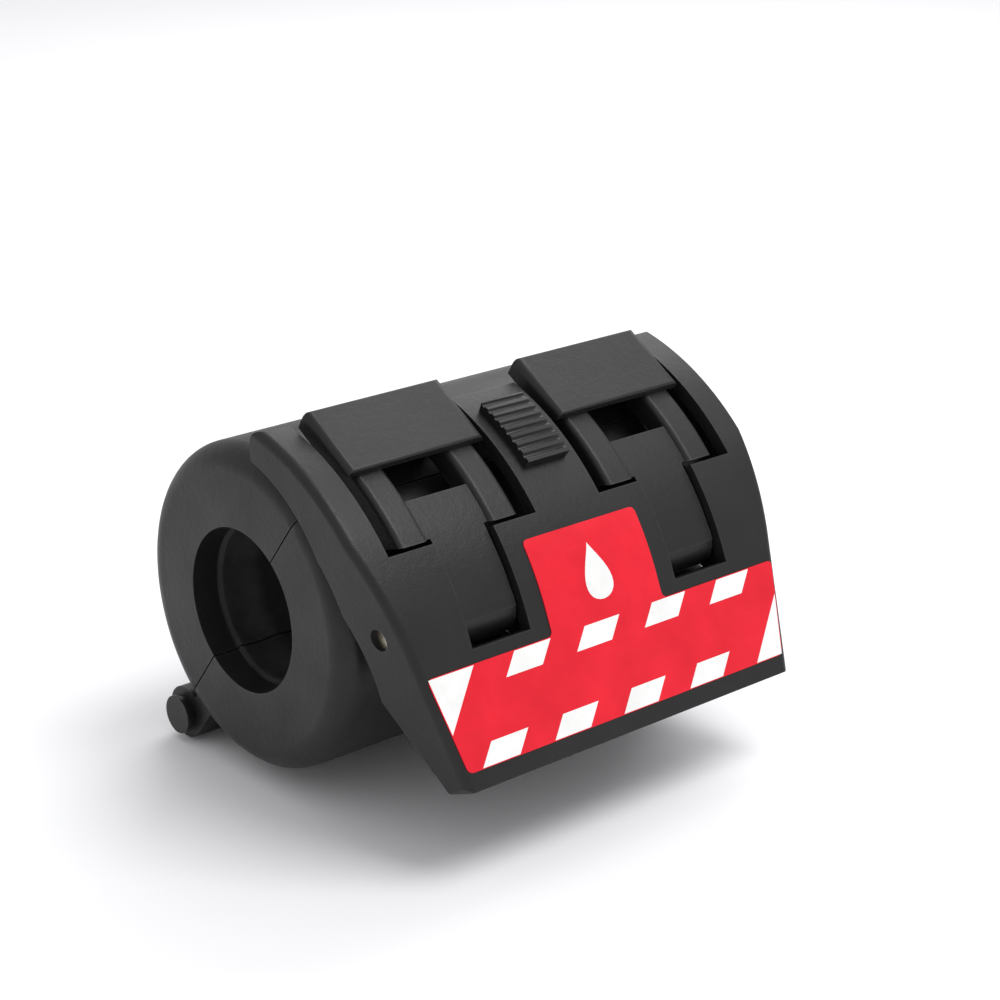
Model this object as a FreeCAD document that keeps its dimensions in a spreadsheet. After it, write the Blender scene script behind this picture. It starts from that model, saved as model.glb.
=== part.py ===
import FreeCAD, Part
import math
import os
import Sketcher

# Pipe repair clamp for a 22 mm pipe. X runs along the pipe, the lever is at the
# front (-Y) and Z is up. The origin is on the pipe's axis, half way along the body.
# Side profiles lie in the YZ plane; a point is given as (front, up), front = -Y.

doc = FreeCAD.newDocument("pipe_repair_clamp")
sheet = doc.addObject("Spreadsheet::Sheet", "dims")

DRIVING = {
    # round body
    "pipe_radius": 11.0, "shell_radius": 23.0, "shell_length": 67.0, "end_round": 3.5,
    "end_bore": 11.6, "seat_radius": 15.0, "seat_length": 59.0, "seal_play": 0.05,
    "split_angle": 52.0, "split_gap": 0.2,
    # rear hinge
    "hinge_reach": 27.2, "knuckle_radius": 3.8, "knuckle_length": 13.0, "knuckle_gap": 0.3,
    "pin_radius": 1.5, "pin_play": 0.05, "hinge_length": 66.0,
    "cap_radius": 2.8, "cap_thickness": 0.9,
    # lever cover: arc about (arc_front, arc_up), then a straight flared panel
    "arc_front": -1.0, "arc_up": -10.8, "arc_radius": 39.4, "flare_angle": 23.5,
    "panel_length": 19.0, "lip_front": 38.8, "lip_up": -14.0, "lip_rim": 2.2,
    "lever_width": 70.0, "lip_width": 58.4, "skin": 2.0, "wall": 2.6, "nose_front": 5.7,
    "taper_front": 26.5, "taper_up": 17.4, "taper_angle": 61.6, "taper_run": 34.0,
    "hug_radius": 24.0, "edge_round": 1.2, "nose_round": 1.8, "lip_corner": 0.8, "heel_front": 28.1, "heel_up": -4.0,
    "swing_front": 5.2, "swing_up": -8.4, "swing_radius": 23.4,
    # latches
    "latch_pitch": 35.8, "slot_width": 24.6, "slot_angle": 41.9, "throat_width": 9.8,
    "throat_drop": 1.7, "band_width": 11.2, "band_angle": 72.5,
    "pad_width": 22.4, "pad_back_front": 9.8, "pad_back_up": 29.8,
    "pad_fore_front": 19.2, "pad_fore_up": 24.1, "pad_thickness": 3.0, "pad_edge": 1.2,
    "pad_undercut": 2.6, "pad_side_round": 1.1, "pad_front_round": 0.4, "leg_round": 0.9,
    "leg_width": 4.8, "leg_gap": 10.2, "leg_outer": 39.05, "leg_inner": 35.6,
    "leg_sweep": 10.62, "tongue_width": 8.8, "bridge_width": 10.9,
    "tongue_outer": 38.4, "tongue_inner": 36.2, "bridge_inner": 34.4, "tongue_top": 52.2,
    "eye_radius": 3.95, "link_front": 29.5, "link_up": 5.3, "link_length": 63.8,
    "pull_angle": 44.7, "lip_reach": 2.0, "lip_depth": 1.5, "lip_start": 2.4,
    "catch_grip": 0.8, "catch_slack": 0.85, "catch_top": 2.4, "catch_width": 19.2,
    # lever pivot on the lower shell
    "pivot_front": 26.4, "pivot_up": 10.6, "pivot_radius": 1.2, "lug_radius": 2.2,
    "lug_inner": 26.6, "lug_outer": 30.4, "stub_inner": 23.4, "stub_outer": 32.9,
    "mid_lug_inner": 2.6, "mid_lug_outer": 4.6, "mid_rib_inner": 5.0, "mid_rib_outer": 7.0,
    "gusset_angle": 38.0, "shelf_up": 0.9, "shelf_thickness": 1.4, "rib_a": 9.6, "rib_b": 12.2, "rib_c": 23.3, "rib_d": 25.9,
    # lock
    "thumb_width": 7.3, "thumb_low": 51.2, "thumb_high": 67.1, "thumb_top": 40.85,
    "rib_pitch": 1.39, "groove_radius": 0.42, "thumb_play": 0.05,
    "stem_radius": 0.9, "stem_angle": 60.0, "stem_slot": 2.2, "stem_run": 2.6,
    "bolt_width": 7.0, "bolt_outer": 37.2, "bolt_inner": 35.6, "bolt_low": 52.5,
    "bolt_high": 72.0, "nose_width": 5.0, "nose_low": 69.0, "nose_reach": 23.7,
    "keeper_width": 6.0, "keeper_reach": 24.4, "keeper_low": 71.5, "keeper_high": 74.0,
    "screw_radius": 1.7, "screw_head": 0.7, "shank_radius": 0.5, "shank_length": 2.6,
    # springs
    "wire_radius": 0.2, "coil_radius": 1.85, "coil_pitch": 0.44, "coil_height": 0.5,
    "lift_wire": 0.3, "lift_radius": 1.65, "lift_pitch": 0.7, "lift_height": 3.5,
    "return_radius": 0.72, "return_pitch": 0.55, "return_height": 3.0, "return_wire": 0.15,
    # label
    "label_thickness": 0.15, "label_top": 30.9, "label_foot": 28.4, "tab_width": 19.8,
    "label_start": 3.5, "label_end": 16.5, "tab_angle": 37.4,
}
for row, (alias, value) in enumerate(DRIVING.items(), start=1):
    sheet.set(f"A{row}", alias)
    sheet.set(f"B{row}", str(value))
    sheet.setAlias(f"B{row}", alias)
doc.recompute()

BIG = 80.0          # reach of the cutting shapes, well past the part
X_AXIS = FreeCAD.Vector(1, 0, 0)
NODES = {}          # node name -> document object


def number(expression):
    """Value of an expression over the sheet."""
    result = sheet.evalExpression(str(expression))
    return float(getattr(result, "Value", result))


def bind(item, **sizes):
    """Bind properties to expressions; a double underscore stands for a dot."""
    for name, expression in sizes.items():
        item.setExpression(name.replace("__", "."), str(expression))
    return item


def place(item, x="0", front="0", up="0"):
    return bind(item, Placement__Base__x=x, Placement__Base__y=f"-({front})",
                Placement__Base__z=up)


def node(item, name):
    item.Label = name
    NODES[name] = item
    return item


def rod(name, radius, start, end, front="0", up="0"):
    """Cylinder along X from x = start to x = end."""
    item = doc.addObject("Part::Cylinder", name)
    item.Placement = FreeCAD.Placement(FreeCAD.Vector(), FreeCAD.Vector(0, 1, 0), 90)
    bind(item, Radius=radius, Height=f"({end}) - ({start})")
    return place(item, start, front, up)


def tube(name, inner, outer, start, end, front="0", up="0"):
    return cut(name, rod(name + "_outer", outer, start, end, front, up),
               rod(name + "_inner", inner, f"{start} - 1", f"{end} + 1", front, up))


def cut(name, base, *tools):
    for index, tool in enumerate(tools):
        result = doc.addObject("Part::Cut", f"{name}_cut{index}")
        result.Base = base
        result.Tool = tool
        base = result
    return base


def fuse(name, *shapes):
    result = doc.addObject("Part::MultiFuse", name + "_sum")
    result.Shapes = list(shapes)
    result.Refine = True
    return result


def common(name, *shapes):
    result = doc.addObject("Part::MultiCommon", name + "_shared")
    result.Shapes = list(shapes)
    return result


def outline(sketch, corners):
    """Closed run of straight sides; every corner is held by the sheet."""
    spots = [FreeCAD.Vector(number(a), number(b), 0) for a, b in corners]
    count = len(spots)
    for index, spot in enumerate(spots):
        sketch.addGeometry(Part.LineSegment(spot, spots[(index + 1) % count]), False)
    for index in range(count):
        after = (index + 1) % count
        sketch.addConstraint(Sketcher.Constraint("Coincident", index, 2, after, 1))
    for index, (a, b) in enumerate(corners):
        for kind, expression in (("DistanceX", a), ("DistanceY", b)):
            spot = Sketcher.Constraint(kind, -1, 1, index, 1, number(expression))
            held = sketch.addConstraint(spot)
            sketch.setExpression(f"Constraints[{held}]", str(expression))
    return sketch


def prism(name, corners, start, end):
    """Side profile of (front, up) corners, run along X from start to end."""
    sketch = doc.addObject("Sketcher::SketchObject", name + "_profile")
    turn = FreeCAD.Rotation(FreeCAD.Vector(0, 1, 0), FreeCAD.Vector(0, 0, 1), X_AXIS, "ZXY")
    sketch.Placement = FreeCAD.Placement(FreeCAD.Vector(), turn)
    outline(sketch, [(f"-({front})", up) for front, up in corners])
    bind(sketch, Placement__Base__x=start)
    item = doc.addObject("Part::Extrusion", name)
    item.Base = sketch
    item.DirMode = "Custom"
    item.Dir = X_AXIS
    item.Solid = True
    return bind(item, LengthFwd=f"({end}) - ({start})")


def plan(name, corners, front, up, angle, below, above):
    """Outline in a plane that leans back by angle, run along its normal."""
    sketch = doc.addObject("Sketcher::SketchObject", name + "_profile")
    sketch.Placement = FreeCAD.Placement(FreeCAD.Vector(), X_AXIS, number(angle))
    bind(sketch, Placement__Rotation__Angle=angle)
    outline(sketch, corners)
    place(sketch, "0", front, up)
    item = doc.addObject("Part::Extrusion", name)
    item.Base = sketch
    item.DirMode = "Normal"
    item.Solid = True
    return bind(item, LengthFwd=above, LengthRev=below)


def both(expression):
    """The two x limits of a piece centred on the middle."""
    return f"-({expression}) / 2", f"({expression}) / 2"


def polar(reach, angle, front="0", up="0"):
    """Point at a reach and angle from a centre, as (front, up)."""
    return (f"({front}) + ({reach}) * cos({angle})", f"({up}) + ({reach}) * sin({angle})")


def on_arc(reach, angle):
    """Point at a reach and angle from the centre of the lever's arc."""
    return polar(reach, angle, "dims.arc_front", "dims.arc_up")


def step(spot, reach, angle):
    """Point a distance away from a spot, in the direction of an angle."""
    return polar(reach, angle, *spot)


def heading(start, end):
    """Direction from one point to another, as plain degrees."""
    return f"(atan2({end[1]} - ({start[1]}); {end[0]} - ({start[0]})) / 1 deg)"


def sector(low, high):
    """Corners of a wide wedge from the arc's centre between two angles."""
    return [("dims.arc_front", "dims.arc_up"), on_arc(BIG, low),
            on_arc(1.4 * BIG, f"(({low}) + ({high})) / 2"), on_arc(BIG, high)]


def ring(name, inner, outer, start, end, low, high):
    """Part of a ring about the lever's arc centre."""
    band = tube(name + "_band", inner, outer, start, end, "dims.arc_front", "dims.arc_up")
    return common(name, band, prism(name + "_zone", sector(low, high), start, end))


def coil(name, pitch, height, radius, wire):
    """Round wire wound along X, starting at x = 0."""
    path = doc.addObject("Part::Helix", name + "_path")
    bind(path, Pitch=pitch, Height=height, Radius=radius)
    section = doc.addObject("Part::Circle", name + "_section")
    section.Placement = FreeCAD.Placement(FreeCAD.Vector(), X_AXIS, 90)
    bind(section, Radius=wire, Placement__Base__x=radius)
    sweep = doc.addObject("Part::Sweep", name)
    sweep.Sections = [section]
    sweep.Spine = path
    sweep.Solid = True
    sweep.Frenet = True
    return sweep


def rounded(name, base, radius_of):
    """Fillet every edge for which radius_of(edge) names a radius."""
    doc.recompute()
    item = doc.addObject("Part::Fillet", name)
    item.Base = base
    chosen = []
    for index, edge in enumerate(base.Shape.Edges, start=1):
        radius = radius_of(edge)
        if radius:
            chosen.append((index, number(radius), number(radius)))
    item.Edges = chosen
    return item


HINGE = polar("-dims.hinge_reach", "dims.split_angle")
PIVOT = ("dims.pivot_front", "dims.pivot_up")
LINK = ("dims.link_front", "dims.link_up")
FULL = both("dims.shell_length")


# ---- round body: two half shells about the split plane ----

def half_space(name, side):
    """Everything on one side of the split plane, half the gap away from it."""
    gap = f"{side} * dims.split_gap / 2"
    shift = (f"-({gap}) * sin(dims.split_angle)", f"({gap}) * cos(dims.split_angle)")
    far = f"{side} * {BIG}"
    across = (f"-({far}) * sin(dims.split_angle)", f"({far}) * cos(dims.split_angle)")
    ends = [polar(f"{reach}", "dims.split_angle", *shift) for reach in (BIG, -BIG)]
    outer = [(f"({a}) + ({across[0]})", f"({b}) + ({across[1]})") for a, b in reversed(ends)]
    return prism(name, ends + outer, -BIG, BIG)


def knuckle(name, start, end, side):
    """One hinge knuckle with the web that ties it to its own half."""
    eye = rod(name + "_eye", "dims.knuckle_radius", start, end, *HINGE)
    foot = polar("-dims.hinge_reach + 8", "dims.split_angle")
    tip = polar("-dims.hinge_reach", "dims.split_angle")
    gap = f"{side} * dims.split_gap / 2"
    wide = f"{side} * dims.knuckle_radius"

    def beside(spot, reach):
        return (f"{spot[0]} - ({reach}) * sin(dims.split_angle)",
                f"{spot[1]} + ({reach}) * cos(dims.split_angle)")

    corners = [beside(tip, gap), beside(foot, gap), beside(foot, wide), beside(tip, wide)]
    return [eye, prism(name + "_web", corners, start, end)]


def half_shell(name, side, knuckles, extras, holes):
    drum = rod(name + "_drum", "dims.shell_radius", *FULL)
    drum = rounded(name + "_drum_round", drum,
                   lambda edge: "dims.end_round" if isinstance(edge.Curve, Part.Circle) else None)
    half = common(name + "_half", drum, half_space(name + "_side", side))
    pieces = [half] + extras
    for index, (start, end) in enumerate(knuckles):
        pieces += knuckle(f"{name}_knuckle{index}", start, end, side)
    body = fuse(name, *pieces)
    bore = rod(name + "_bore", "dims.end_bore", -BIG, BIG)
    seat = rod(name + "_seat", "dims.seat_radius", *both("dims.seat_length"))
    return cut(name, body, bore, seat, *holes)


def knuckle_spans(first):
    """X limits of every second knuckle of five."""
    spans = []
    for index in range(first, 5, 2):
        start = f"({index} - 2.5) * dims.knuckle_length + dims.knuckle_gap / 2"
        spans.append((start, f"({index} - 1.5) * dims.knuckle_length - dims.knuckle_gap / 2"))
    return spans


def lug(name, start, end, gusset=False):
    """Ear on the lower shell that carries the lever's pivot."""
    eye = rod(name + "_eye", "dims.lug_radius", start, end, *PIVOT)
    lean = heading(("0", "0"), PIVOT)
    side = (f"dims.lug_radius * sin({lean})", f"dims.lug_radius * cos({lean})")
    foot = polar("dims.shell_radius - 1", lean)
    corners = [(f"{PIVOT[0]} - {side[0]}", f"{PIVOT[1]} + {side[1]}"),
               (f"{foot[0]} - {side[0]}", f"{foot[1]} + {side[1]}"),
               (f"{foot[0]} + {side[0]}", f"{foot[1]} - {side[1]}"),
               (f"{PIVOT[0]} + {side[0]}", f"{PIVOT[1]} - {side[1]}")]
    pieces = [eye, prism(name + "_web", corners, start, end)]
    if gusset:
        back = polar("dims.shell_radius - 0.5", "dims.gusset_angle")
        pieces.append(prism(name + "_gusset", [corners[0], back, corners[1]], start, end))
    return pieces


def lower_shell():
    lugs = (lug("lug_left", "-dims.lug_outer", "-dims.lug_inner", gusset=True)
            + lug("lug_right", "dims.lug_inner", "dims.lug_outer", gusset=True)
            + lug("lug_mid_left", "-dims.mid_lug_outer", "-dims.mid_lug_inner")
            + lug("lug_mid_right", "dims.mid_lug_inner", "dims.mid_lug_outer"))
    pivot_hole = rod("lower_pivot_hole", "dims.pivot_radius + dims.pin_play", -BIG, BIG, *PIVOT)
    hinge_hole = rod("lower_hinge_hole", "dims.pin_radius", -BIG, BIG, *HINGE)
    node(half_shell("lower_shell", -1, knuckle_spans(0), lugs, [pivot_hole, hinge_hole]),
         "lower_shell")


# The hook's lip and the catch ridge meet on faces square to the hook's pull.
PAD_BACK = ("dims.pad_back_front", "dims.pad_back_up")
PAD_FORE = ("dims.pad_fore_front", "dims.pad_fore_up")
PAD_LEAN = heading(PAD_BACK, PAD_FORE)


PAD_UNDER_BACK = step(PAD_BACK, "dims.pad_thickness", f"{PAD_LEAN} - 90")
PAD_UNDER_FORE = step(PAD_FORE, "dims.pad_thickness", f"{PAD_LEAN} - 90")
LIP_START = step(PAD_UNDER_BACK, "dims.lip_start", PAD_LEAN)
LIP_TIP = step(LIP_START, "-dims.lip_reach", "dims.pull_angle")
LIP_HEEL = step(LIP_TIP, "dims.lip_depth", "dims.pull_angle + 90")
CATCH_TOP = step(step(LIP_TIP, "dims.catch_grip", "dims.pull_angle"),
                 "dims.catch_slack", "dims.pull_angle - 90")


def upper_shell():
    low = step(CATCH_TOP, -4.6, "dims.pull_angle")
    brow = step(CATCH_TOP, "dims.catch_top", PAD_LEAN)
    foot = polar("dims.shell_radius - 0.6", f"{heading(('0', '0'), brow)} + 1")
    pieces = []
    for side, name in ((-1, "left"), (1, "right")):
        middle = f"{side} * dims.latch_pitch / 2"
        pieces.append(prism(f"catch_{name}", [CATCH_TOP, brow, foot, low],
                            f"{middle} - dims.catch_width / 2",
                            f"{middle} + dims.catch_width / 2"))
    keeper = [polar("dims.keeper_reach", "dims.keeper_low"),
              polar("dims.keeper_reach", "dims.keeper_high"),
              polar("dims.shell_radius - 0.5", "dims.keeper_high + 1"),
              polar("dims.shell_radius - 0.5", "dims.keeper_low")]
    pieces.append(prism("keeper", keeper, *both("dims.keeper_width")))
    hole = rod("upper_hinge_hole", "dims.pin_radius + dims.pin_play", -BIG, BIG, *HINGE)
    node(half_shell("upper_shell", 1, knuckle_spans(1), pieces, [hole]), "upper_shell")


def seal(name, side):
    """Rubber half liner in the shell's seat."""
    liner = tube(name + "_liner", "dims.pipe_radius", "dims.seat_radius - dims.seal_play",
                 *both("dims.seat_length - 2 * dims.seal_play"))
    node(common(name, liner, half_space(name + "_side", side)), name)


def hinge_pieces():
    node(rod("hinge_pin", "dims.pin_radius", *both("dims.hinge_length"), *HINGE), "hinge_pin")
    edge = "dims.hinge_length / 2"
    caps = [rod("cap_left", "dims.cap_radius", f"-({edge}) - dims.cap_thickness",
                f"-({edge})", *HINGE),
            rod("cap_right", "dims.cap_radius", edge, f"{edge} + dims.cap_thickness", *HINGE)]
    node(fuse("hinge_pin_caps", *caps), "hinge_pin_caps")


# ---- lever: cover skin, side walls, lip and inner ribs ----

def lever_profile(name, depth, lip_back, width):
    """Solid under the outer surface, depth below it, down to the lip."""
    disc = rod(name + "_disc", f"dims.arc_radius - {depth}", *both(width),
               "dims.arc_front", "dims.arc_up")
    zone = [("dims.nose_front", "dims.arc_up"), ("dims.arc_front", "dims.arc_up"),
            on_arc(BIG, "dims.flare_angle"), (BIG, BIG), ("dims.nose_front", BIG)]
    zone = [on_arc("(dims.nose_front - dims.arc_front) / cos(dims.flare_angle)",
                   "dims.flare_angle")] + zone[2:]
    crown = common(name + "_crown", disc, prism(name + "_zone", zone, *both(width)))
    top = on_arc(f"dims.arc_radius - {depth}", "dims.flare_angle")
    foot = step(top, f"dims.panel_length - {lip_back}", "dims.flare_angle - 90")
    back = ("dims.lip_front", "dims.lip_up")
    if lip_back != "0":
        back = step(foot, -12, "dims.flare_angle")
    corners = [top, foot, back, ("dims.heel_front", "dims.heel_up"),
               ("dims.arc_front", "dims.arc_up")]
    return fuse(name, crown, prism(name + "_panel", corners, *both(width)))


def lever_plan(name, inset, lip_back):
    """Front view of the lever: straight sides, then a taper to the lip."""
    wide = f"dims.lever_width / 2 - {inset}"
    narrow = f"dims.lip_width / 2 - {inset}"
    low = f"-(dims.taper_run) + {lip_back}"
    corners = [(f"-({wide})", 60), (f"-({wide})", 0), (f"-({narrow})", f"{low} + dims.lip_corner"),
               (f"dims.lip_corner - ({narrow})", low), (f"{narrow} - dims.lip_corner", low),
               (narrow, f"{low} + dims.lip_corner"), (wide, 0), (wide, 60)]
    return plan(name, corners, "dims.taper_front", "dims.taper_up", "dims.taper_angle", 60, 25)


def lever_rounding(edge):
    """Radius for the lever's nose and its outer side rims."""
    box = edge.BoundBox
    middle = edge.valueAt((edge.FirstParameter + edge.LastParameter) / 2)
    reach = math.hypot(-middle.y - number("dims.arc_front"), middle.z - number("dims.arc_up"))
    outside = reach > number("dims.arc_radius") - 0.3
    at_nose = abs(-middle.y - number("dims.nose_front")) < 0.1
    if outside and at_nose and box.XLength > 20:
        return "dims.nose_round"
    if outside and not at_nose and edge.Length > 8 and box.XLength < 8:
        return "dims.edge_round"
    return None


def latch_slots():
    tools = []
    for side, name in ((-1, "left"), (1, "right")):
        middle = f"{side} * dims.latch_pitch / 2"
        wide = [on_arc(30, "dims.slot_angle"), on_arc(BIG, "dims.slot_angle"),
                (BIG, BIG), (-10, BIG), (-10, 18)]
        tools.append(prism(f"slot_{name}", wide, f"{middle} - dims.slot_width / 2",
                           f"{middle} + dims.slot_width / 2"))
        top = on_arc("dims.arc_radius", "dims.flare_angle")
        bottom = step(top, "dims.throat_drop", "dims.flare_angle - 90")
        throat = [step(bottom, -4, "dims.flare_angle"), step(bottom, 8, "dims.flare_angle"),
                  on_arc("dims.arc_radius + 8", 45), on_arc("dims.arc_radius - 5", 45)]
        tools.append(prism(f"throat_{name}", throat, f"{middle} - dims.throat_width / 2",
                           f"{middle} + dims.throat_width / 2"))
    return tools


def rib(name, start, end):
    """Inner rib that holds the link pin and the lever's pivot pins."""
    top = on_arc("dims.arc_radius - dims.skin / 2", 41)
    waist = on_arc("dims.arc_radius - dims.skin / 2", "dims.flare_angle")
    corners = [top, waist, step(waist, 6, "dims.flare_angle - 90"),
               step(LINK, 5.4, -68), step(LINK, 3.02, -146), step(PIVOT, 2.5, -170)]
    return prism(name, corners, start, end)


def shelf(name, start, end):
    """Ledge behind the foot of a latch slot, under the hook's eye."""
    low = "dims.shelf_up - dims.shelf_thickness"
    corners = [("dims.lip_front - 2.8", "dims.shelf_up"), ("dims.lip_front - 2.4", low),
               ("dims.link_front + 0.3", low), ("dims.link_front + 0.3", "dims.shelf_up")]
    return prism(name, corners, start, end)


def lever():
    shape = common("lever_outer", lever_profile("lever_hull", "0", "0", "dims.lever_width"),
                   lever_plan("lever_outline", "0", "0"))
    shape = rounded("lever_round", shape, lever_rounding)
    hollow = common("lever_hollow",
                    lever_profile("lever_inside", "dims.skin", "dims.lip_rim",
                                  "dims.lever_width - 2 * dims.wall"),
                    lever_plan("lever_inline", "dims.wall", "dims.lip_rim"))
    hug = rod("lever_hug", "dims.hug_radius", -BIG, BIG)
    swing = rod("lever_swing", "dims.swing_radius", -BIG, BIG, "dims.swing_front",
                "dims.swing_up")
    band = prism("band_end", sector("dims.band_angle", "dims.band_angle + 40"),
                 *both("dims.band_width + 0.2"))
    shape = cut("lever_shell", shape, hollow, hug, swing, band, *latch_slots())
    ribs = [rib("rib_left_outer", "-dims.rib_d", "-dims.rib_c"),
            rib("rib_left_inner", "-dims.rib_b", "-dims.rib_a"),
            rib("rib_right_inner", "dims.rib_a", "dims.rib_b"),
            rib("rib_right_outer", "dims.rib_c", "dims.rib_d"),
            rib("rib_mid_left", "-dims.mid_rib_outer", "-dims.mid_rib_inner"),
            rib("rib_mid_right", "dims.mid_rib_inner", "dims.mid_rib_outer")]
    shelves = [shelf("shelf_left", "-dims.rib_c", "-dims.rib_b"),
               shelf("shelf_right", "dims.rib_b", "dims.rib_c")]
    shape = fuse("lever_ribbed", shape, *ribs, *shelves)
    stem_low = "dims.stem_angle - dims.stem_run / dims.arc_radius * 180 / pi - 2"
    stem = prism("stem_way", [on_arc(30, stem_low), on_arc(BIG, stem_low),
                              on_arc(BIG, "dims.stem_angle + 2"),
                              on_arc(30, "dims.stem_angle + 2")], *both("dims.stem_slot"))
    link_hole = rod("link_hole", "dims.pin_radius", -BIG, BIG, *LINK)
    pivot_hole = rod("pivot_hole", "dims.pivot_radius", "-dims.stub_outer",
                     "dims.stub_outer", *PIVOT)
    node(cut("lever", shape, stem, link_hole, pivot_hole), "lever")


def pins():
    node(rod("link_pin", "dims.pin_radius", *both("dims.link_length"), *LINK), "link_pin")
    for name, start, end in (("left_pivot_pin", "-dims.stub_outer", "-dims.stub_inner"),
                             ("right_pivot_pin", "dims.stub_inner", "dims.stub_outer"),
                             ("centre_pivot_pin", "-dims.mid_rib_outer", "dims.mid_rib_outer")):
        node(rod(name, "dims.pivot_radius", start, end, *PIVOT), name)


# ---- the two latch hooks ----

def pad_rounding(edge):
    """Radius for the four edges of a pad's top."""
    lean = math.radians(number(PAD_LEAN))
    across = -math.sin(lean), math.cos(lean)
    front, up = number(PAD_BACK[0]), number(PAD_BACK[1])
    for corner in edge.Vertexes:
        drop = (-corner.Y - front) * across[0] + (corner.Z - up) * across[1]
        if abs(drop) > 0.01:
            return None
    return "dims.pad_front_round" if edge.BoundBox.XLength > 1 else "dims.pad_side_round"


def leg_rounding(edge):
    """Radius for the long outer edges of a hook's legs."""
    outer = number("dims.leg_outer")
    is_arc = isinstance(edge.Curve, Part.Circle) and edge.BoundBox.XLength < 0.1
    return "dims.leg_round" if is_arc and abs(edge.Curve.Radius - outer) < 0.01 else None


def hook(name, side):
    middle = f"{side} * dims.latch_pitch / 2"

    def span(width):
        return f"{middle} - ({width}) / 2", f"{middle} + ({width}) / 2"

    brow = step(PAD_FORE, "dims.pad_edge", f"{PAD_LEAN} - 90")
    under = step(PAD_UNDER_FORE, "-dims.pad_undercut", PAD_LEAN)
    pad = prism(name + "_pad", [PAD_BACK, PAD_FORE, brow, under, PAD_UNDER_BACK],
                *span("dims.pad_width"))
    pad = rounded(name + "_pad_round", pad, pad_rounding)
    lip = prism(name + "_lip", [LIP_START, LIP_TIP, LIP_HEEL, PAD_UNDER_BACK,
                                step(LIP_START, 1, "dims.pull_angle")],
                *span("dims.catch_width - 0.6"))
    reach = "dims.leg_gap + 2 * dims.leg_width"
    legs = ring(name + "_legs", "dims.leg_inner", "dims.leg_outer", *span(reach), "34", "66")
    gap = prism(name + "_gap", sector("30", "70"), *span("dims.leg_gap"))
    legs = rounded(name + "_legs_round", cut(name + "_pair", legs, gap), leg_rounding)
    bridge = ring(name + "_bridge", "dims.bridge_inner", "dims.tongue_outer",
                  *span("dims.bridge_width"), "34", "dims.tongue_top")
    sweep = rod(name + "_sweep", "dims.leg_sweep", -BIG, BIG, *LINK)
    sides = cut(name + "_sides", fuse(name + "_upper", legs, bridge), sweep)
    tongue = ring(name + "_tongue", "dims.tongue_inner", "dims.tongue_outer",
                  *span("dims.tongue_width"), "26", "dims.tongue_top - 1")
    eye = rod(name + "_eye", "dims.eye_radius", *span("dims.tongue_width"), *LINK)
    shape = fuse(name, pad, lip, sides, tongue, eye)
    hole = rod(name + "_hole", "dims.pin_radius + dims.pin_play", -BIG, BIG, *LINK)
    node(cut(name, shape, hole), name)


# ---- lock on the lever's middle band ----

def lock():
    floor = "dims.arc_radius + dims.thumb_play"
    block = ring("thumb", floor, "dims.thumb_top", *both("dims.thumb_width"),
                 "dims.thumb_low", "dims.thumb_high")
    grooves = []
    pitch_angle = "dims.rib_pitch / dims.thumb_top * 180 / pi"
    for index in range(8):
        angle = f"dims.thumb_low + ({index} + 0.75) * {pitch_angle}"
        spot = on_arc("dims.thumb_top + 0.1", angle)
        grooves.append(rod(f"groove{index}", "dims.groove_radius", -BIG, BIG, *spot))
    stem = prism("thumb_stem", [on_arc("dims.bolt_outer", "dims.stem_angle - 1.2"),
                                on_arc("dims.arc_radius + 0.4", "dims.stem_angle - 1.2"),
                                on_arc("dims.arc_radius + 0.4", "dims.stem_angle + 1.2"),
                                on_arc("dims.bolt_outer", "dims.stem_angle + 1.2")],
                 *both("2 * dims.stem_radius"))
    shank = doc.addObject("Part::Cylinder", "screw_shank")
    hole = doc.addObject("Part::Cylinder", "screw_way")
    screw = doc.addObject("Part::Cylinder", "screw_head")
    for item, radius, height in ((shank, "dims.shank_radius", "dims.shank_length"),
                                 (hole, "dims.shank_radius", "dims.shank_length"),
                                 (screw, "dims.screw_radius", "dims.screw_head")):
        item.Placement = FreeCAD.Placement(FreeCAD.Vector(), X_AXIS, 1)
        bind(item, Radius=radius, Height=height,
             Placement__Rotation__Angle="90 - dims.stem_angle")
        foot = "dims.bolt_inner - dims.screw_head" if item is screw else "dims.bolt_inner - 0.1"
        place(item, "0", *on_arc(foot, "dims.stem_angle"))
    thumb = fuse("thumb", cut("thumb_ribs", block, *grooves), stem)
    node(cut("lock_slider", thumb, hole), "lock_slider")
    plate = ring("bolt_plate", "dims.bolt_inner", "dims.bolt_outer",
                 *both("dims.bolt_width"), "dims.bolt_low", "dims.bolt_high")
    nose_tip = polar("dims.nose_reach", "dims.keeper_low - 1.2")
    nose_heel = polar("dims.nose_reach", "dims.keeper_low - 5")
    nose = prism("bolt_nose", [on_arc("dims.bolt_inner + 0.5", "dims.nose_low"),
                               on_arc("dims.bolt_inner + 0.5", "dims.bolt_high"),
                               nose_tip, nose_heel], *both("dims.nose_width"))
    node(cut("lock_bolt", fuse("bolt", plate, nose), hole), "lock_bolt")
    node(fuse("lock_screw", shank, screw), "lock_screw")


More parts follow.
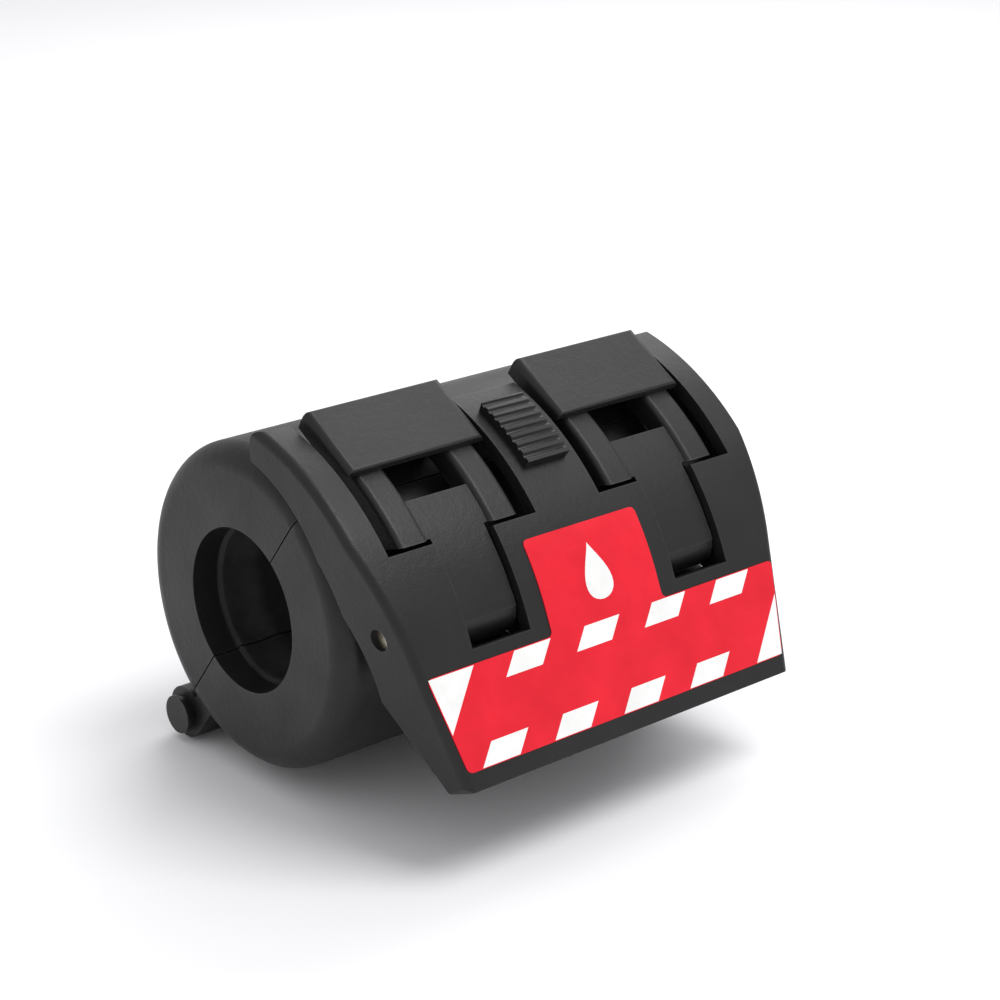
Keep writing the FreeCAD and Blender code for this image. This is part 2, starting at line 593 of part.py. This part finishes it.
def springs():
    """Hook springs beside each eye, lift spring between the middle lugs, return spring."""
    turn = FreeCAD.Rotation(FreeCAD.Vector(0, 1, 0), 90)
    for side, name in ((-1, "left_hook_spring"), (1, "right_hook_spring")):
        item = coil(name, "dims.coil_pitch", "dims.coil_height", "dims.coil_radius",
                    "dims.wire_radius")
        item.Placement = FreeCAD.Placement(FreeCAD.Vector(), turn)
        start = "dims.latch_pitch / 2 + dims.tongue_width / 2 + dims.wire_radius + 0.06"
        if side < 0:
            start = f"-({start}) - dims.coil_height"
        node(place(item, start, *LINK), name)
    lift = coil("lever_spring", "dims.lift_pitch", "dims.lift_height", "dims.lift_radius",
                "dims.lift_wire")
    lift.Placement = FreeCAD.Placement(FreeCAD.Vector(), turn)
    node(place(lift, "-dims.lift_height / 2", *PIVOT), "lever_spring")
    push = coil("lock_spring", "dims.return_pitch", "dims.return_height",
                "dims.return_radius", "dims.return_wire")
    lean = "dims.bolt_low - 6.5"
    push.Placement = FreeCAD.Placement(FreeCAD.Vector(), X_AXIS, 1)
    bind(push, Placement__Rotation__Angle=f"-({lean})")
    foot = on_arc("(dims.bolt_inner + dims.bolt_outer) / 2", "dims.bolt_low - 9")
    node(place(push, "0", *foot), "lock_spring")


def label():
    """Sticker: a tapered patch on the flared panel and a tab up the middle band."""
    top = on_arc("dims.arc_radius", "dims.flare_angle")
    patch = plan("label_patch",
                 [("-dims.label_top", "-dims.label_start"), ("-dims.label_foot", "-dims.label_end"),
                  ("dims.label_foot", "-dims.label_end"), ("dims.label_top", "-dims.label_start"),
                  ("dims.tab_width / 2", "-dims.label_start"), ("dims.tab_width / 2", "0"),
                  ("-dims.tab_width / 2", "0"), ("-dims.tab_width / 2", "-dims.label_start")],
                 *top, "90 - dims.flare_angle", "0", "dims.label_thickness")
    tab = ring("label_tab", "dims.arc_radius", "dims.arc_radius + dims.label_thickness",
               *both("dims.tab_width"), "dims.flare_angle", "dims.tab_angle")
    node(fuse("label", patch, tab), "label")


lower_shell()
upper_shell()
seal("lower_seal", -1)
seal("upper_seal", 1)
hinge_pieces()
lever()
pins()
hook("left_hook", -1)
hook("right_hook", 1)
lock()
springs()
label()
doc.recompute()

failed = [item.Name for item in doc.Objects
          if "Invalid" in item.State or "Error" in item.State]
bad = [name for name, item in NODES.items()
       if item.Shape.isNull() or not item.Shape.isValid() or not item.Shape.Solids]
if failed or bad:
    raise SystemExit(f"failed objects: {failed}; bad shapes: {bad}")

os.makedirs("parts", exist_ok=True)
for name, item in NODES.items():
    item.Shape.exportStep(f"parts/{name}.step")
    print(name, len(item.Shape.Solids), round(item.Shape.Volume, 1))
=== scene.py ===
import math

import bmesh
import bpy
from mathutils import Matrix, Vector


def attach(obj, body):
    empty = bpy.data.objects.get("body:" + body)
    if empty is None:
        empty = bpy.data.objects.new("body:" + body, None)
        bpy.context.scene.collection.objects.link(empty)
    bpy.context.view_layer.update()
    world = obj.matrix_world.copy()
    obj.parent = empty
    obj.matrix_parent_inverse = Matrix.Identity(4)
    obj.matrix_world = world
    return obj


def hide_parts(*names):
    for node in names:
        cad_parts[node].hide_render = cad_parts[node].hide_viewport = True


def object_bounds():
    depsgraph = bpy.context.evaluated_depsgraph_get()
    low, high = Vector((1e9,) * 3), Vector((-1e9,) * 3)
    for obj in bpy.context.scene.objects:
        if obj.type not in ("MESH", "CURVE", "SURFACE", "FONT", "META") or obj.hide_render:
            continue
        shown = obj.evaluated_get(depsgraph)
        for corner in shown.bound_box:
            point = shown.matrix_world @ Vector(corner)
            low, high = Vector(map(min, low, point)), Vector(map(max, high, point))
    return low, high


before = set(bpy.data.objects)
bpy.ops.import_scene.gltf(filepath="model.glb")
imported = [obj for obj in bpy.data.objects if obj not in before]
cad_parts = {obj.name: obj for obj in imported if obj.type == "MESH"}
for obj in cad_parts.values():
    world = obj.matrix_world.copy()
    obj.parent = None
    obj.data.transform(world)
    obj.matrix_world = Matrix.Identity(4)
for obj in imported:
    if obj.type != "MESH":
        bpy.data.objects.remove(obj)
cad_low, cad_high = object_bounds()

MM = 0.001

# The lever's outer surface: the centre and radius of its arc, in millimetres, and the angle
# at which the flat flare leaves the arc.
ARC_FRONT, ARC_UP, ARC_RADIUS = -1.0, -10.8, 39.4
FLARE = math.radians(23.5)

# The liners: the tilt of the plane between the halves, and their sizes in millimetres.
SPLIT = math.radians(52.0)
PIPE_RADIUS, SEAT_RADIUS, SEAL_HALF = 11.0, 14.95, 29.45
SPLIT_GAP = 0.1
LIPS, LIP_DEPTH = 9, 0.55


# ---- materials ----

class Shader:
    """Small helper round one material's node tree."""

    def __init__(self, name):
        self.material = bpy.data.materials.new(name)
        self.material.use_nodes = True
        self.nodes = self.material.node_tree.nodes
        self.links = self.material.node_tree.links
        self.surface = self.nodes["Principled BSDF"]
        self.coordinates = self.nodes.new("ShaderNodeTexCoord").outputs["Object"]

    def noise(self, scale, detail=4.0, roughness=0.55, stretch=None):
        texture = self.nodes.new("ShaderNodeTexNoise")
        texture.inputs["Scale"].default_value = scale
        texture.inputs["Detail"].default_value = detail
        texture.inputs["Roughness"].default_value = roughness
        source = self.coordinates
        if stretch:
            mapping = self.nodes.new("ShaderNodeMapping")
            mapping.inputs["Scale"].default_value = stretch
            self.links.new(source, mapping.inputs["Vector"])
            source = mapping.outputs["Vector"]
        self.links.new(source, texture.inputs["Vector"])
        return texture.outputs["Fac"]

    def ramp(self, factor, stops):
        ramp = self.nodes.new("ShaderNodeValToRGB")
        elements = ramp.color_ramp.elements
        while len(elements) < len(stops):
            elements.new(0.5)
        for element, (position, colour) in zip(elements, stops):
            element.position = position
            element.color = colour
        self.links.new(factor, ramp.inputs["Fac"])
        return ramp.outputs["Color"]

    def remap(self, factor, from_low, from_high, low, high):
        node = self.nodes.new("ShaderNodeMapRange")
        for name, value in (("From Min", from_low), ("From Max", from_high),
                            ("To Min", low), ("To Max", high)):
            node.inputs[name].default_value = value
        self.links.new(factor, node.inputs["Value"])
        return node.outputs["Result"]

    def math(self, operation, first, second):
        node = self.nodes.new("ShaderNodeMath")
        node.operation = operation
        for socket, value in zip(node.inputs, (first, second)):
            if isinstance(value, (int, float)):
                socket.default_value = value
            else:
                self.links.new(value, socket)
        return node.outputs["Value"]

    def mix(self, factor, first, second):
        node = self.nodes.new("ShaderNodeMix")
        node.data_type = "RGBA"
        self.links.new(factor, node.inputs[0])
        for socket, value in ((node.inputs[6], first), (node.inputs[7], second)):
            if isinstance(value, tuple):
                socket.default_value = value
            else:
                self.links.new(value, socket)
        return node.outputs[2]

    def edges(self, radius):
        """1 on sharp edges, 0 on open faces."""
        bevel = self.nodes.new("ShaderNodeBevel")
        bevel.samples = 4
        bevel.inputs["Radius"].default_value = radius
        geometry = self.nodes.new("ShaderNodeNewGeometry")
        dot = self.nodes.new("ShaderNodeVectorMath")
        dot.operation = "DOT_PRODUCT"
        self.links.new(bevel.outputs["Normal"], dot.inputs[0])
        self.links.new(geometry.outputs["Normal"], dot.inputs[1])
        return self.remap(dot.outputs["Value"], 0.99, 0.82, 0.0, 1.0)

    def bump(self, height, distance, strength=1.0, after=None):
        node = self.nodes.new("ShaderNodeBump")
        node.inputs["Distance"].default_value = distance
        node.inputs["Strength"].default_value = strength
        self.links.new(height, node.inputs["Height"])
        if after:
            self.links.new(after, node.inputs["Normal"])
        return node.outputs["Normal"]

    def finish(self, colour=None, roughness=None, normal=None, **constants):
        for name, value in constants.items():
            self.surface.inputs[name.replace("_", " ")].default_value = value
        for name, value in (("Base Color", colour), ("Roughness", roughness),
                            ("Normal", normal)):
            if value is not None:
                self.links.new(value, self.surface.inputs[name])
        return self.material


def grey(value):
    return (value, value, value * 1.03, 1.0)


def nylon(name, tone, gloss, grain=0.00003):
    """Glass-filled black nylon: fine spark grain, faint flow marks, painted highlight on the
    edges.
    """
    shader = Shader(name)
    mottle = shader.noise(90.0, 5.0, 0.6)
    flow = shader.noise(60.0, 3.0, 0.5, stretch=(0.35, 1.6, 1.6))
    base = shader.ramp(mottle, [(0.3, grey(tone * 0.82)), (0.7, grey(tone * 1.2))])
    scuffs = shader.noise(420.0, 6.0, 0.75, stretch=(0.3, 1.0, 1.0))
    scuffed = shader.ramp(scuffs, [(0.66, grey(0.0)), (0.74, grey(0.55))])
    base = shader.mix(scuffed, base, grey(tone * 1.9))
    # Painted highlight: sharp edges are lightened in the colour, broken up by noise, and made
    # a little glossier.
    edge_highlight = shader.math("MULTIPLY", shader.edges(0.00035),
                         shader.remap(shader.noise(700.0), 0.35, 0.65, 0.25, 1.0))
    base = shader.mix(edge_highlight, base, grey(tone * 3.4))
    roughness = shader.remap(flow, 0.3, 0.7, gloss - 0.05, gloss + 0.07)
    roughness = shader.math("SUBTRACT", roughness, shader.math("MULTIPLY", edge_highlight, 0.08))
    spark = shader.bump(shader.noise(4200.0, 2.0, 0.6), grain)
    normal = shader.bump(shader.noise(900.0, 3.0), grain * 1.4, after=spark)
    return shader.finish(base, roughness, normal, Specular_IOR_Level=0.3)


def rubber(name):
    shader = Shader(name)
    dusty = shader.ramp(shader.noise(240.0, 6.0, 0.7),
                        [(0.35, grey(0.018)), (0.75, grey(0.042))])
    roughness = shader.remap(shader.noise(120.0), 0.3, 0.7, 0.68, 0.85)
    normal = shader.bump(shader.noise(2600.0, 3.0), 0.00002)
    return shader.finish(dusty, roughness, normal, Specular_IOR_Level=0.35)


def metal(name, colour, gloss):
    """Drawn wire or turned pin: fine scratches along X and slight tarnish."""
    shader = Shader(name)
    drawn = shader.noise(900.0, 4.0, 0.6, stretch=(0.08, 1.0, 1.0))
    stain = shader.noise(260.0, 5.0, 0.6)
    dark = tuple(channel * 0.62 for channel in colour) + (1.0,)
    base = shader.ramp(stain, [(0.35, dark), (0.65, colour + (1.0,))])
    roughness = shader.remap(drawn, 0.3, 0.7, gloss, gloss + 0.2)
    normal = shader.bump(drawn, 0.000008)
    return shader.finish(base, roughness, normal, Metallic=1.0)


def vinyl(name, colour):
    """Printed vinyl film, slightly uneven where it is stuck down."""
    shader = Shader(name)
    light = tuple(min(1.0, channel * 1.06 + 0.004) for channel in colour) + (1.0,)
    dark = tuple(channel * 0.9 for channel in colour) + (1.0,)
    base = shader.ramp(shader.noise(160.0, 5.0, 0.6), [(0.3, dark), (0.7, light)])
    roughness = shader.remap(shader.noise(500.0, 3.0), 0.3, 0.7, 0.3, 0.42)
    normal = shader.bump(shader.noise(330.0, 2.0), 0.00001)
    return shader.finish(base, roughness, normal, Specular_IOR_Level=0.3)


def floor_finish(name):
    shader = Shader(name)
    base = shader.ramp(shader.noise(6.0, 3.0), [(0.2, grey(0.88)), (0.8, grey(0.9))])
    roughness = shader.remap(shader.noise(40.0), 0.3, 0.7, 0.6, 0.7)
    return shader.finish(base, roughness)


BODY = nylon("nylon_body", 0.0115, 0.43)
# Painted light: the hooks' nylon is a shade lighter than the body's, so the hook pads read
# brighter, as they do under the overhead light.
HOOK = nylon("nylon_hook", 0.0125, 0.4)
THUMB = nylon("nylon_thumb", 0.009, 0.38, grain=0.000012)
RUBBER = rubber("rubber_liner")
STEEL = metal("steel_pin", (0.62, 0.56, 0.44), 0.28)
SPRING = metal("spring_wire", (0.58, 0.59, 0.6), 0.22)
RED = vinyl("vinyl_red", (0.72, 0.005, 0.021))
WHITE = vinyl("vinyl_white", (0.84, 0.84, 0.83))

FINISHES = {
    BODY: ("lower_shell", "upper_shell", "lever"),
    HOOK: ("left_hook", "right_hook"),
    THUMB: ("lock_slider", "lock_bolt", "hinge_pin_caps"),
    STEEL: ("hinge_pin", "link_pin", "left_pivot_pin", "right_pivot_pin",
            "centre_pivot_pin", "lock_screw"),
    SPRING: ("left_hook_spring", "right_hook_spring", "lever_spring", "lock_spring"),
}
for finish, names in FINISHES.items():
    for name in names:
        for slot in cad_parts[name].material_slots:
            slot.material = finish


# ---- softened edges on the moulded pieces ----

WELD_REACH = 0.002      # joins the doubled vertices along the faces' borders
SHARP = math.radians(34)

# Width of the softening on each piece, in millimetres.
SOFT_EDGES = {
    "lower_shell": 0.3, "upper_shell": 0.3, "lever": 0.35, "left_hook": 0.4,
    "right_hook": 0.4, "lock_slider": 0.15, "lock_bolt": 0.15, "link_pin": 0.3,
    "hinge_pin": 0.3, "hinge_pin_caps": 0.3,
}
for name, width in SOFT_EDGES.items():
    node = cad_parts[name]
    weld = node.modifiers.new("weld", "WELD")
    weld.merge_threshold = WELD_REACH * MM
    bevel = node.modifiers.new("soft_edges", "BEVEL")
    bevel.width = width * MM
    bevel.segments = 3
    bevel.limit_method = "ANGLE"
    bevel.angle_limit = SHARP
    bevel.use_clamp_overlap = True
    bevel.harden_normals = True
    normals = node.modifiers.new("even_normals", "WEIGHTED_NORMAL")
    normals.keep_sharp = True


# ---- new pieces ----

def piece(name, mesh, material, body):
    thing = bpy.data.objects.new(name, mesh)
    bpy.context.scene.collection.objects.link(thing)
    thing.data.materials.append(material)
    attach(thing, body)
    return thing


def on_lever(x, down, lift):
    """Point on the lever's outer surface: down is along it from where the flare starts."""
    radius = ARC_RADIUS + lift
    if down < 0:
        angle = FLARE - down / ARC_RADIUS
        front = ARC_FRONT + radius * math.cos(angle)
        up = ARC_UP + radius * math.sin(angle)
    else:
        front = ARC_FRONT + radius * math.cos(FLARE) + down * math.sin(FLARE)
        up = ARC_UP + radius * math.sin(FLARE) - down * math.cos(FLARE)
    return Vector((x, -front, up)) * MM


def round_corners(corners, radius, steps=5):
    """Outline with each corner replaced by a short curve."""
    outline = []
    count = len(corners)
    for index, corner in enumerate(corners):
        here = Vector(corner)
        before = Vector(corners[index - 1])
        after = Vector(corners[(index + 1) % count])
        reach = min(radius, (before - here).length / 2.1, (after - here).length / 2.1)
        start = here + (before - here).normalized() * reach
        end = here + (after - here).normalized() * reach
        for step in range(steps + 1):
            share = step / steps
            along = start.lerp(here, share)
            outline.append(along.lerp(here.lerp(end, share), share))
    return outline


ROW = 0.5               # height of a film's strips on the curved part of the lever
ROWS = 21


def film(name, shapes, lift, thickness, material):
    """Thin film on the lever, cut to outlines in (x, down) and wrapped on the surface."""
    mesh = bpy.data.meshes.new(name)
    build = bmesh.new()
    for shape in shapes:
        build.faces.new([build.verts.new((x, down, 0.0)) for x, down in shape])
    for index in [*range(1, ROWS + 1), 0]:
        bmesh.ops.bisect_plane(build, geom=build.verts[:] + build.edges[:] + build.faces[:],
                               plane_co=(0.0, -ROW * index, 0.0), plane_no=(0.0, 1.0, 0.0))
    raised = bmesh.ops.extrude_face_region(build, geom=build.faces[:])
    top = {item for item in raised["geom"] if isinstance(item, bmesh.types.BMVert)}
    for vertex in build.verts:
        height = lift + (thickness if vertex in top else 0.0)
        vertex.co = on_lever(vertex.co.x, vertex.co.y, height)
    bmesh.ops.recalc_face_normals(build, faces=build.faces[:])
    build.to_mesh(mesh)
    build.free()
    for face in mesh.polygons:
        face.use_smooth = False
    return piece(name, mesh, material, "lever_body")


# The label, in millimetres along X and down the lever's surface: its lower patch narrows
# towards the lip, and a tab rises from the middle of it.
LABEL_TOP, LABEL_END = 3.5, 16.5
LABEL_WIDE, LABEL_NARROW, TAB = 30.9, 28.4, 9.9
TAB_TOP = -9.55
LABEL_CORNER = 0.9
NARROWING = (LABEL_WIDE - LABEL_NARROW) / (LABEL_END - LABEL_TOP)
FILM_THICKNESS, PRINT_THICKNESS = 0.12, 0.02
SLANT = 0.8             # sideways run of a block for each millimetre down
MARGIN = 0.12           # red left showing outside the white print
BLOCKS_IN_ROW = 4
BLOCK, PITCH, BLOCK_HEIGHT = 6.2, 12.2, 2.88
TOP_ROW, END_ROW = -10.4, -17.6     # right edge of the first block in each row
BAND_START = 23.4       # where the white corners begin, from the middle
DROP_CENTRE, DROP_WIDTH, DROP_HEIGHT = -2.9, 3.3, 3.9


def label_side(down):
    """Half width of the label's lower patch."""
    return LABEL_WIDE - NARROWING * (down - LABEL_TOP)


def slanted(right_edge, top, end):
    """White block that leans to the left as it goes down, kept inside the label."""
    corners = []
    for x, down in ((right_edge - BLOCK, top), (right_edge, top), (right_edge, end),
                    (right_edge - BLOCK, end)):
        x -= SLANT * (down - top)
        side = label_side(down) - MARGIN
        corners.append((max(-side, min(side, x)), down))
    return corners


def corner_band(side, edge, away):
    """White corner of the label, cut along the blocks' slant; away is 1 going down."""
    reach = (label_side(edge) - BAND_START) / (SLANT + away * NARROWING)
    return [(side * (label_side(edge) - MARGIN), edge), (side * BAND_START, edge),
            (side * (BAND_START + SLANT * reach - MARGIN), edge + away * reach)]


def drop(steps=32):
    """Plain water drop, the label's only sign."""
    outline = []
    for step in range(steps):
        turn = 2 * math.pi * step / steps
        outline.append((DROP_WIDTH * math.sin(turn) * math.sin(turn / 2) ** 1.5,
                        DROP_CENTRE - DROP_HEIGHT * math.cos(turn)))
    return outline


def label():
    outline = [(-LABEL_WIDE, LABEL_TOP), (-LABEL_NARROW, LABEL_END), (LABEL_NARROW, LABEL_END),
               (LABEL_WIDE, LABEL_TOP), (TAB, LABEL_TOP), (TAB, TAB_TOP), (-TAB, TAB_TOP),
               (-TAB, LABEL_TOP)]
    red = film("label_film", [round_corners(outline, LABEL_CORNER)], 0.0, FILM_THICKNESS, RED)
    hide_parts("label")
    top, end = LABEL_TOP + MARGIN, LABEL_END - MARGIN
    white = [corner_band(-1, top, 1), corner_band(1, end, -1)]
    for index in range(BLOCKS_IN_ROW):
        white.append(slanted(TOP_ROW + index * PITCH, top, top + BLOCK_HEIGHT))
        white.append(slanted(END_ROW + index * PITCH, end - BLOCK_HEIGHT, end))
    film("label_blocks", white, FILM_THICKNESS, PRINT_THICKNESS, WHITE)
    film("label_drop", [drop()], FILM_THICKNESS, PRINT_THICKNESS, WHITE)


def liner_profile(rows_in_lip=8):
    """Closed section of a liner in (x, radius), with waves on the side of the pipe."""
    rows = LIPS * rows_in_lip
    profile = []
    for row in range(rows + 1):
        share = row / rows
        wave = 0.5 - 0.5 * math.cos(share * LIPS * 2 * math.pi)
        profile.append(((2 * share - 1) * SEAL_HALF, PIPE_RADIUS + LIP_DEPTH * wave ** 0.6))
    return profile + [(SEAL_HALF, SEAT_RADIUS), (-SEAL_HALF, SEAT_RADIUS)]


def liner(name, replaced, body, start, turns=40):
    """Half liner, swept from the plane between the halves round to the same plane."""
    gap = SPLIT_GAP / PIPE_RADIUS
    profile = liner_profile()
    mesh = bpy.data.meshes.new(name)
    build = bmesh.new()
    rings = []
    for turn in range(turns + 1):
        angle = start + gap + (math.pi - 2 * gap) * turn / turns
        rings.append([build.verts.new((x * MM, -radius * math.cos(angle) * MM,
                                       radius * math.sin(angle) * MM))
                      for x, radius in profile])
    count = len(profile)
    for near, far in zip(rings, rings[1:]):
        for index in range(count):
            after = (index + 1) % count
            build.faces.new((near[index], near[after], far[after], far[index]))
    build.faces.new(rings[0])
    build.faces.new(list(reversed(rings[-1])))
    bmesh.ops.recalc_face_normals(build, faces=build.faces[:])
    build.to_mesh(mesh)
    build.free()
    for face in mesh.polygons:
        face.use_smooth = len(face.vertices) == 4
    thing = piece(name, mesh, RUBBER, body)
    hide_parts(replaced)
    normals = thing.modifiers.new("even_normals", "WEIGHTED_NORMAL")
    normals.keep_sharp = True


label()
liner("upper_liner", "upper_seal", "upper_body", SPLIT)
liner("lower_liner", "lower_seal", "lower_body", SPLIT + math.pi)


# ---- stage ----

FLOOR_SIZE = 3.0
FLOOR_GAP = 0.0002
SKY = 0.72
TARGET = Vector((0.0, 0.0, 0.0))


def stage():
    low = cad_low.z - FLOOR_GAP
    corners = [(x * FLOOR_SIZE, y * FLOOR_SIZE, low)
               for x, y in ((-1, -1), (1, -1), (1, 1), (-1, 1))]
    mesh = bpy.data.meshes.new("floor")
    mesh.from_pydata(corners, [], [(0, 1, 2, 3)])
    floor = bpy.data.objects.new("floor", mesh)
    floor.data.materials.append(floor_finish("floor_finish"))
    bpy.context.scene.collection.objects.link(floor)

    world = bpy.data.worlds.new("studio")
    world.use_nodes = True
    background = world.node_tree.nodes["Background"]
    background.inputs["Color"].default_value = (1.0, 1.0, 1.0, 1.0)
    background.inputs["Strength"].default_value = SKY
    bpy.context.scene.world = world


def lamp(name, place, size, power):
    """Square soft light that points at the object."""
    data = bpy.data.lights.new(name, "AREA")
    data.size = size
    data.energy = power
    light = bpy.data.objects.new(name, data)
    light.location = place
    light.rotation_euler = (TARGET - Vector(place)).to_track_quat("-Z", "Y").to_euler()
    bpy.context.scene.collection.objects.link(light)


LENS = 88.53
EYE = (-0.2051, -0.2546, 0.1304)
AZIMUTH, ELEVATION = math.radians(-40.5), math.radians(20.57)


def camera():
    data = bpy.data.cameras.new("camera")
    data.lens = LENS
    data.sensor_width = 36.0
    data.clip_start = 0.01
    eye = bpy.data.objects.new("camera", data)
    forward = Vector((-math.sin(AZIMUTH) * math.cos(ELEVATION),
                      math.cos(AZIMUTH) * math.cos(ELEVATION), -math.sin(ELEVATION)))
    eye.location = EYE
    eye.rotation_euler = forward.to_track_quat("-Z", "Y").to_euler()
    bpy.context.scene.collection.objects.link(eye)
    bpy.context.scene.camera = eye


stage()
lamp("key", (0.15, -0.25, 0.6), 0.35, 2.6)
lamp("rim", (0.42, 0.3, 0.46), 0.4, 1.5)
camera()
bpy.context.scene.view_settings.view_transform = "Standard"
